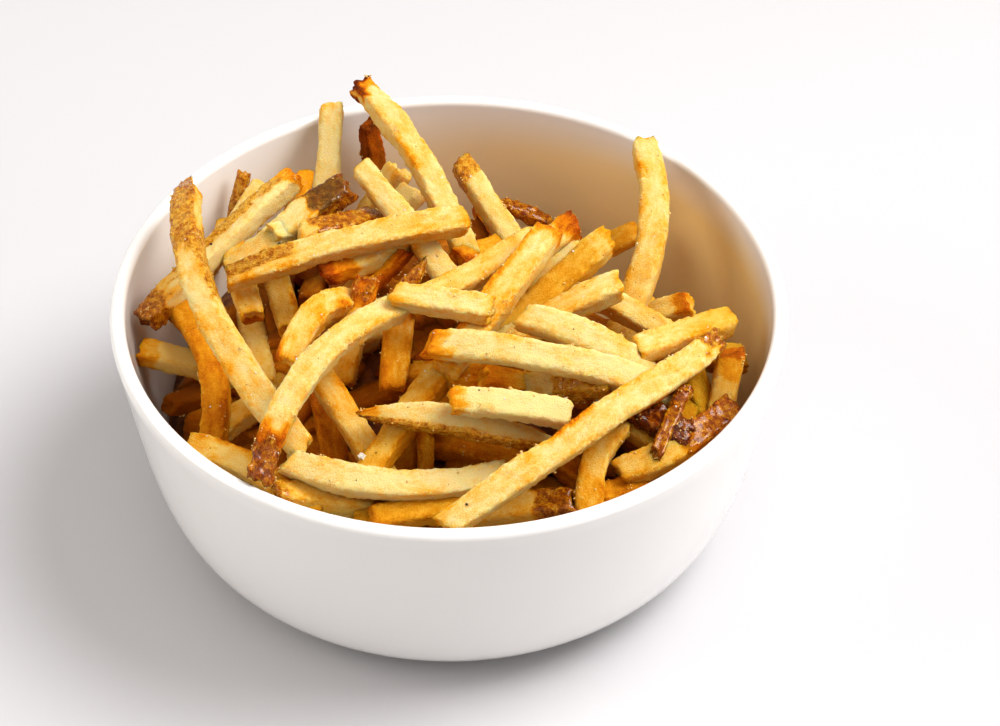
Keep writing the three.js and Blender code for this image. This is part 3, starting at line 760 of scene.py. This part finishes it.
def cut_fry(row, seed, cell=FRY_CELL, marks=(), points=(0, 0), slants=None, shade_free_above=SHADE_FREE_HEIGHT):
    """One fry: a bar rounded, tapered, bent between its two ends and roughened."""
    first, last = Vector(row[0:3]), Vector(row[3:6])
    bow, rise, width, roll = row[6:]
    heading = (last - first).normalized()
    side = Vector((0, 0, 1)).cross(heading).normalized()
    up = heading.cross(side)
    control = (first + last) / 2 + side * (2 * bow) + up * (2 * rise)
    length = ((control - first).length + (last - control).length + (last - first).length) / 2
    draw = random.Random(seed)
    shift = Vector([draw.uniform(-900, 900) for axis in range(3)])
    slants = list(slants or [draw.uniform(-0.32, 0.32) for end in range(4)])
    hollows = [draw.uniform(-0.05, 0.07) for face in range(2)]
    end_bulge = [draw.uniform(-1.3, 0.3) for end in range(2)]
    power = CORNER_POWER * draw.uniform(0.75, 1.3)
    tone = draw.uniform(-0.06, 0.06)
    twist = draw.uniform(-0.15, 0.15)
    bar, verts = straight_bar(length, width, cell)
    layers = {kind: bar.verts.layers.float[kind] for kind in LAYERS}
    half = width / 2
    moves = []
    for vert in verts:
        along, across, through = vert.co.x + 0.5, vert.co.y * 2, vert.co.z * 2
        reach = max(abs(across), abs(through))
        if reach > 0:
            squeeze = reach / (abs(across) ** power + abs(through) ** power) ** (1 / power)
            across, through = across * squeeze, through * squeeze
        corner = (across * through) ** 2 * reach
        ending = abs(2 * along - 1)
        end = 1 if along > 0.5 else 0
        from_end = (1 - ending) * length / 2
        size = 1 - END_TAPER * ending**6
        size -= END_ROUNDED * (1 - min(from_end / END_ROUNDING, 1)) ** 2
        if points[end]:
            size *= 1 - POINT_LOSS * max(1 - from_end / (points[end] * length), 0) ** 1.5
        spine = Vector((along * length, 0, 0)) + shift
        size *= 1 + SWELL * noise.noise(spine / SWELL_LENGTH)
        across_size = across * size * (1 + hollows[0] * (1 - through**2) - 0.02)
        through_size = through * size * (1 + hollows[1] * (1 - across**2) - 0.02) * FRY_FLATNESS
        lean = ending**8 * half * (slants[2 * end] * across + slants[2 * end + 1] * through) / length
        spread = along + lean
        if from_end < ON_THE_FACE:
            spread += (2 * end - 1) * end_bulge[end] * (1 - reach**2) / length
        clamped = min(max(spread, 0), 1)
        place = first * (1 - clamped) ** 2 + control * (2 * clamped * (1 - clamped)) + last * clamped**2
        tangent = ((control - first) * (1 - clamped) + (last - control) * clamped).normalized()
        ragged = RAGGEDNESS * noise.noise(Vector((9 * end, across * 1.6, through * 1.6)) + shift)
        ragged += draw.uniform(-0.35, 0.35) * corner
        torn = (2 * end - 1) * ragged * max(1 - from_end / RAGGED_LENGTH, 0)
        place += tangent * ((spread - clamped) * length + torn)
        flat = Vector((0, 0, 1)).cross(tangent).normalized()
        raised = tangent.cross(flat)
        turn = math.radians(roll) + twist * (along - 0.5)
        sway = [SWAY * noise.noise(spine / SWAY_LENGTH + Vector((0, 40 * way, 0))) for way in range(2)]
        side_way = across_size * half * math.cos(turn) - through_size * half * math.sin(turn) + sway[0]
        up_way = across_size * half * math.sin(turn) + through_size * half * math.cos(turn) + sway[1]
        vert.co = place + flat * side_way + raised * up_way
        skin_place = Vector((along * length, across * half, through * half)) + shift
        wander = 0.10 * noise.noise(skin_place / 3.2)
        cover = {kind: mark_share(marks, kind, along, across, through, wander) for kind in FINISHES}
        blister = noise.noise(skin_place / BLISTER_SIZE)
        ends_brown = (1 - min(from_end / BROWN_END_LENGTH, 1)) * (0.25 + 0.35 * reach**6)
        crumb = draw.uniform(-0.6, 1) * corner * reach**8
        which_edge = Vector((along * length / 8, math.copysign(3, across), math.copysign(9, through)))
        edge_brown = 0.10 + 0.55 * max(noise.noise(which_edge + shift), 0)
        browning = BASE_BROWNING + tone + edge_brown * corner + ends_brown * 0.32 + 0.12 * blister
        browning += cover["browning"]
        browning += 0.3 * cover["crisp"] + 0.25 * cover["skin"] - 0.30 * max(crumb, 0)
        # Painted shade: the lower a vertex lies, the browner and more olive it is made.
        deep = smooth_step(0, DEEPEST, shade_free_above - place.z)
        browning += DEPTH_SHADE_BROWNING * deep
        vert[layers["browning"]] = browning
        vert[layers["skin"]] = cover["skin"]
        vert[layers["olive"]] = min(max(cover["olive"] + DEPTH_SHADE_OLIVE * deep, 0), 1)
        vert[layers["green"]] = cover["green"]
        vert[layers["along"]], vert[layers["across"]], vert[layers["through"]] = skin_place * MM
        bump = 0.30 * blister + 0.20 * noise.noise(skin_place / 2.7) + 0.28 * crumb
        bump += (0.35 + 1.7 * corner) * 0.26 * noise.noise(skin_place / 1.4)
        wrinkle = abs(noise.noise(skin_place / 2.4)) * 2 - 0.6
        wrinkled = max(cover["crisp"], cover["skin"] * 0.25)
        bump += wrinkled * (0.8 * wrinkle + 0.4 * noise.noise(skin_place / 5))
        moves.append(bump)
    bar.normal_update()
    crumbling = random.Random(CRUMB_SEED + seed)
    for vert, move in zip(verts, moves):
        vert.co += vert.normal * move
        if move > CRUMB_RISE and crumbling.random() < CRUMB_CHANCE:
            crumbling_spots.append((vert.co.copy(), vert.normal.copy()))
    return bar


def gather(bars):
    """Joins separate meshes into one, with their vertex values."""
    whole = bmesh.new()
    for kind in LAYERS:
        whole.verts.layers.float.new(kind)
    for bar in bars:
        part = bpy.data.meshes.new("part")
        bar.to_mesh(part)
        bar.free()
        whole.from_mesh(part)
        bpy.data.meshes.remove(part)
    return whole


def fries_of(rows, seed, cell=FRY_CELL, shade_free_above=SHADE_FREE_HEIGHT):
    """Cuts the named fries, each with its own marks, points and slants."""
    fries = []
    for number, (name, row) in enumerate(rows.items()):
        marks = MARKS.get(name, ())
        points = POINTED.get(name, (0, 0))
        fries.append(cut_fry(row, seed + number, cell, marks, points, SLANTED.get(name), shade_free_above))
    return fries


golden = potato("golden_potato")
shaded = potato("oily_potato", oily=0.08)
heap_shape = []


def add_fries(bm, name, material):
    """Adds a piece of the heap, and keeps its shape for what is scattered on it."""
    heap_shape.append(BVHTree.FromBMesh(bm))
    piece = finish_piece(bm, name, material)
    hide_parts("fries")
    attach(piece, "root")


TOP_CELL = 0.64  # finer, because these are seen best
TOP_SHADE_FREE_HEIGHT = 52  # they stay pale further down, with less painted shade
BACK_COUNT = 35  # so many of the other fries make one piece, and the rest make another

top_fries = fries_of(TOP_FRIES, seed=100, cell=TOP_CELL, shade_free_above=TOP_SHADE_FREE_HEIGHT)
add_fries(gather(top_fries), "top_fries", golden)
inner_rows = list(INNER_FRIES.items())
back_fries = fries_of(dict(inner_rows[:BACK_COUNT]), seed=200)
add_fries(gather(back_fries), "back_fries", golden)
front_fries = fries_of(dict(inner_rows[BACK_COUNT:]), seed=300)
add_fries(gather(front_fries), "front_fries", golden)

# ---- The fries underneath ----------------------------------------------------------
# The rest of the portion fills the bowl under the ones that show. Only glimpses of these
# are seen, dark and oily in the gaps, lying on a packed core. Their dark browning and the
# core's near-black brown are in part painted shade of the gaps.

# Middle x and y, spread, rise. One that sinks is a hollow.
MOUNDS = [
    (-12, -4, 30, 27),
    (-42, 38, 22, 9),
    (34, -30, 20, 8),
    (44, 56, 25, -24),
]
HEAP_EDGE = 42  # the height of the heap away from its mounds
BURIED_COUNT = 105
BURIED_REACH = 70
BURIED_DEPTHS = (5, 11)  # about how far their tops lie under the top of the heap
BURIED_CELL = 1.9
BURIED_SEED = 7
CORE_DROP = 11  # the core stays this far under the top of the heap
CORE_SAG = 10  # and this much further down at the wall
CORE_REACH = 72
CORE_GAP = 0.5  # between the potato and the glaze
CORE_LEAST = 2.5  # the core is at least this thick before its top is roughened
CORE_RINGS = 12
CORE_TURN_STEPS = 72
CORE_ROUGHNESS = 1.2
CORE_LUMP = 4


def mound_height(mound, x, y):
    middle_x, middle_y, spread, rise = mound
    return rise * math.exp(-((x - middle_x) ** 2 + (y - middle_y) ** 2) / (2 * spread**2))


def heap_top(x, y):
    return HEAP_EDGE + sum(mound_height(mound, x, y) for mound in MOUNDS)


buried = []
draw = random.Random(BURIED_SEED)
while len(buried) < BURIED_COUNT:
    reach = math.sqrt(draw.random()) * BURIED_REACH
    bearing = draw.uniform(0, math.tau)
    heading = draw.uniform(0, math.pi)
    length = draw.uniform(26, 52)
    depth = draw.choice(BURIED_DEPTHS)
    width = draw.uniform(7.0, 8.2)
    middle = Vector((reach * math.cos(bearing), reach * math.sin(bearing), 0))
    half_way = Vector((math.cos(heading), math.sin(heading), 0)) * (length / 2)
    ends = [middle - half_way, middle + half_way]
    tops = [heap_top(end.x, end.y) - depth - width / 2 for end in ends]
    if any(math.hypot(end.x, end.y) > inner_radius(top) - width for end, top in zip(ends, tops)):
        continue
    row = [ends[0].x, ends[0].y, tops[0]]
    row += [ends[1].x, ends[1].y, tops[1]]
    row += [draw.uniform(-2, 2), draw.uniform(0, 2), width, draw.uniform(-20, 20)]
    # Painted shade in part: the buried fries are browned dark and tinged olive, partly their frying
    # colour, partly the shade of the gaps.
    brown = draw.uniform(0.30, 0.85)
    marks = [("browning", *ALL_OVER, brown), ("olive", *ALL_OVER, 0.2)]
    buried.append(cut_fry(row, seed=1000 + len(buried), cell=BURIED_CELL, marks=marks))
add_fries(gather(buried), "buried_fries", shaded)


def core_top(x, y):
    top = heap_top(x, y) - CORE_DROP - CORE_SAG * min(math.hypot(x, y) / CORE_REACH, 1) ** 4
    return max(top, INNER_FLOOR + CORE_GAP + CORE_LEAST)


# The core is turned in shares first: out to 1 at its bottom, up its side from 0 to 1, and
# back to the middle at 2, which is its top. Then each vertex goes to its place in the bowl.
core_side = [(1, (step / CORE_RINGS) ** CROWDING) for step in range(CORE_RINGS + 1)]
core_cover = [(1 - step / CORE_RINGS, 2) for step in range(1, CORE_RINGS)]
core = turned([(0, 0), *core_side, *core_cover, (0, 2)], CORE_TURN_STEPS)
for vert in core.verts:
    reach = math.hypot(vert.co.x, vert.co.y)
    bearing = math.atan2(vert.co.y, vert.co.x)
    level = vert.co.z
    rim = inner_radius(HEAP_EDGE - CORE_DROP - CORE_SAG)
    edge = core_top(rim * math.cos(bearing), rim * math.sin(bearing))
    bottom = INNER_FLOOR + CORE_GAP
    height = edge if level > 1 else bottom + level * (edge - bottom)
    wide = reach * (inner_radius(height - CORE_GAP) - CORE_GAP)
    x, y = wide * math.cos(bearing), wide * math.sin(bearing)
    rough = CORE_ROUGHNESS * noise.noise(Vector((x, y, 0)) / CORE_LUMP)
    vert.co = (x, y, core_top(x, y) + rough if level > 1 else height)

# Painted shade: the core is a near-black brown, much darker than the fries on it, for the shade in the
# gaps of the heap.
PACKED_SHADE_TONES = [(0.3, (0.10, 0.020, 0.002)), (0.7, (0.34, 0.110, 0.009))]

packed, nodes, links = new_material("packed_potato_painted_shade")
shader = nodes["Principled BSDF"]
place = nodes.new("ShaderNodeTexCoord").outputs["Object"]
crumbly = grain(nodes, links, place, 2.5, detail=4)
links.new(band(nodes, links, crumbly, PACKED_SHADE_TONES), shader.inputs["Base Color"])
shader.inputs["Roughness"].default_value = 0.6
bump = nodes.new("ShaderNodeBump")
bump.inputs["Distance"].default_value = 0.8 * MM
links.new(crumbly, bump.inputs["Height"])
links.new(bump.outputs["Normal"], shader.inputs["Normal"])
add_fries(core, "heap_core", packed)

# ---- Salt, pepper and crumbs -------------------------------------------------------
# Fine table salt, a little ground pepper and the crumbs that break off the corners. They
# are scattered by hand and stay where they land, on whatever faces up.

DROP_HEIGHT = 100
LANDING_REACH = 78
LEAST_UPWARD = 0.35  # nothing stays on what faces less upwards than this
SUNK = 0.22  # a grain's middle is above the surface by this share of its size


def drop(x, y):
    """Where something let go above x and y lands on the heap, and the way that place faces."""
    hits = [shape.ray_cast(Vector((x, y, DROP_HEIGHT)), Vector((0, 0, -1))) for shape in heap_shape]
    hits = [hit for hit in hits if hit[0] is not None]
    if not hits:
        return None
    spot, facing = max(((hit[0], hit[1]) for hit in hits), key=lambda pair: pair[0].z)
    return spot, facing


def landings(count, seed):
    """Random places on the top of the heap."""
    draw = random.Random(seed)
    places = []
    while len(places) < count:
        reach = LANDING_REACH * math.sqrt(draw.random())
        bearing = draw.uniform(0, math.tau)
        place = drop(reach * math.cos(bearing), reach * math.sin(bearing))
        if place and place[1].z > LEAST_UPWARD:
            places.append(place)
    return places


def scatter(grains, places, seed, smallest, largest, cubes=False):
    """Adds small grains, each a few faces, turned at random and partly sunk into the surface."""
    draw = random.Random(seed)
    for spot, facing in places:
        size = draw.uniform(smallest, largest)
        if cubes:
            made = bmesh.ops.create_cube(grains, size=size)["verts"]
        else:
            made = bmesh.ops.create_icosphere(grains, subdivisions=1, radius=size / 2)["verts"]
        turn = Matrix.Rotation(draw.uniform(0, math.tau), 3, "Z")
        tilt = Matrix.Rotation(draw.uniform(0, 1), 3, "X")
        spin = turn @ tilt
        stretch = Matrix.Diagonal((draw.uniform(0.6, 1.5), draw.uniform(0.6, 1.2), draw.uniform(0.5, 1)))
        for vert in made:
            grain_place = stretch @ (vert.co * draw.uniform(0.85, 1.1))
            vert.co = spin @ grain_place + spot + facing * (size * SUNK)


def seasoning(name, colour, roughness):
    material, nodes, links = new_material(name)
    shader = nodes["Principled BSDF"]
    place = nodes.new("ShaderNodeTexCoord").outputs["Object"]
    uneven = grain(nodes, links, place, 0.5)
    dull = tuple(0.7 * channel for channel in colour)
    tones = band(nodes, links, uneven, [(0.35, dull), (0.65, colour)])
    links.new(tones, shader.inputs["Base Color"])
    shader.inputs["Roughness"].default_value = roughness
    return material


def add_seasoning(bm, name, material, smooth):
    piece = finish_piece(bm, name, material, smooth)
    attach(piece, "root")


SALT_CLUMP = (-22, -52.6)
CREAM_CRUMB = (14.5, -44.6)
BLACK_SPECKS = [(-42.2, 1.6), (-60.5, 14.1), (-53.2, 1.0), (3.6, -70.5), (12.4, -57.3), (34.7, -45.3)]
CLUMP_STEP = (0.6, 0.25)  # from one grain of the clump to the next

salt = bmesh.new()
scatter(salt, landings(count=90, seed=11), seed=11, smallest=0.2, largest=0.36, cubes=True)
clump = [
    (SALT_CLUMP[0] + CLUMP_STEP[0] * step, SALT_CLUMP[1] + CLUMP_STEP[1] * (step % 2))
    for step in (-1, 0, 1, 2)
]
scatter(salt, [drop(*place) for place in clump], seed=21, smallest=0.8, largest=1.2, cubes=True)
pepper = bmesh.new()
scatter(pepper, landings(count=90, seed=12), seed=12, smallest=0.15, largest=0.4)
scatter(pepper, [drop(*place) for place in BLACK_SPECKS], seed=22, smallest=0.55, largest=0.9)
crumbs = bmesh.new()
scatter(crumbs, landings(count=120, seed=13), seed=13, smallest=0.3, largest=0.8)
scatter(crumbs, crumbling_spots, seed=23, smallest=0.25, largest=0.65)
scatter(crumbs, [drop(*CREAM_CRUMB)], seed=24, smallest=1.7, largest=1.9)
add_seasoning(salt, "salt_grains", seasoning("salt", (0.95, 0.94, 0.9), 0.25), False)
add_seasoning(pepper, "pepper_flecks", seasoning("pepper", (0.06, 0.035, 0.02), 0.7), False)
add_seasoning(crumbs, "potato_crumbs", seasoning("crumb", (0.88, 0.60, 0.21), 0.6), True)
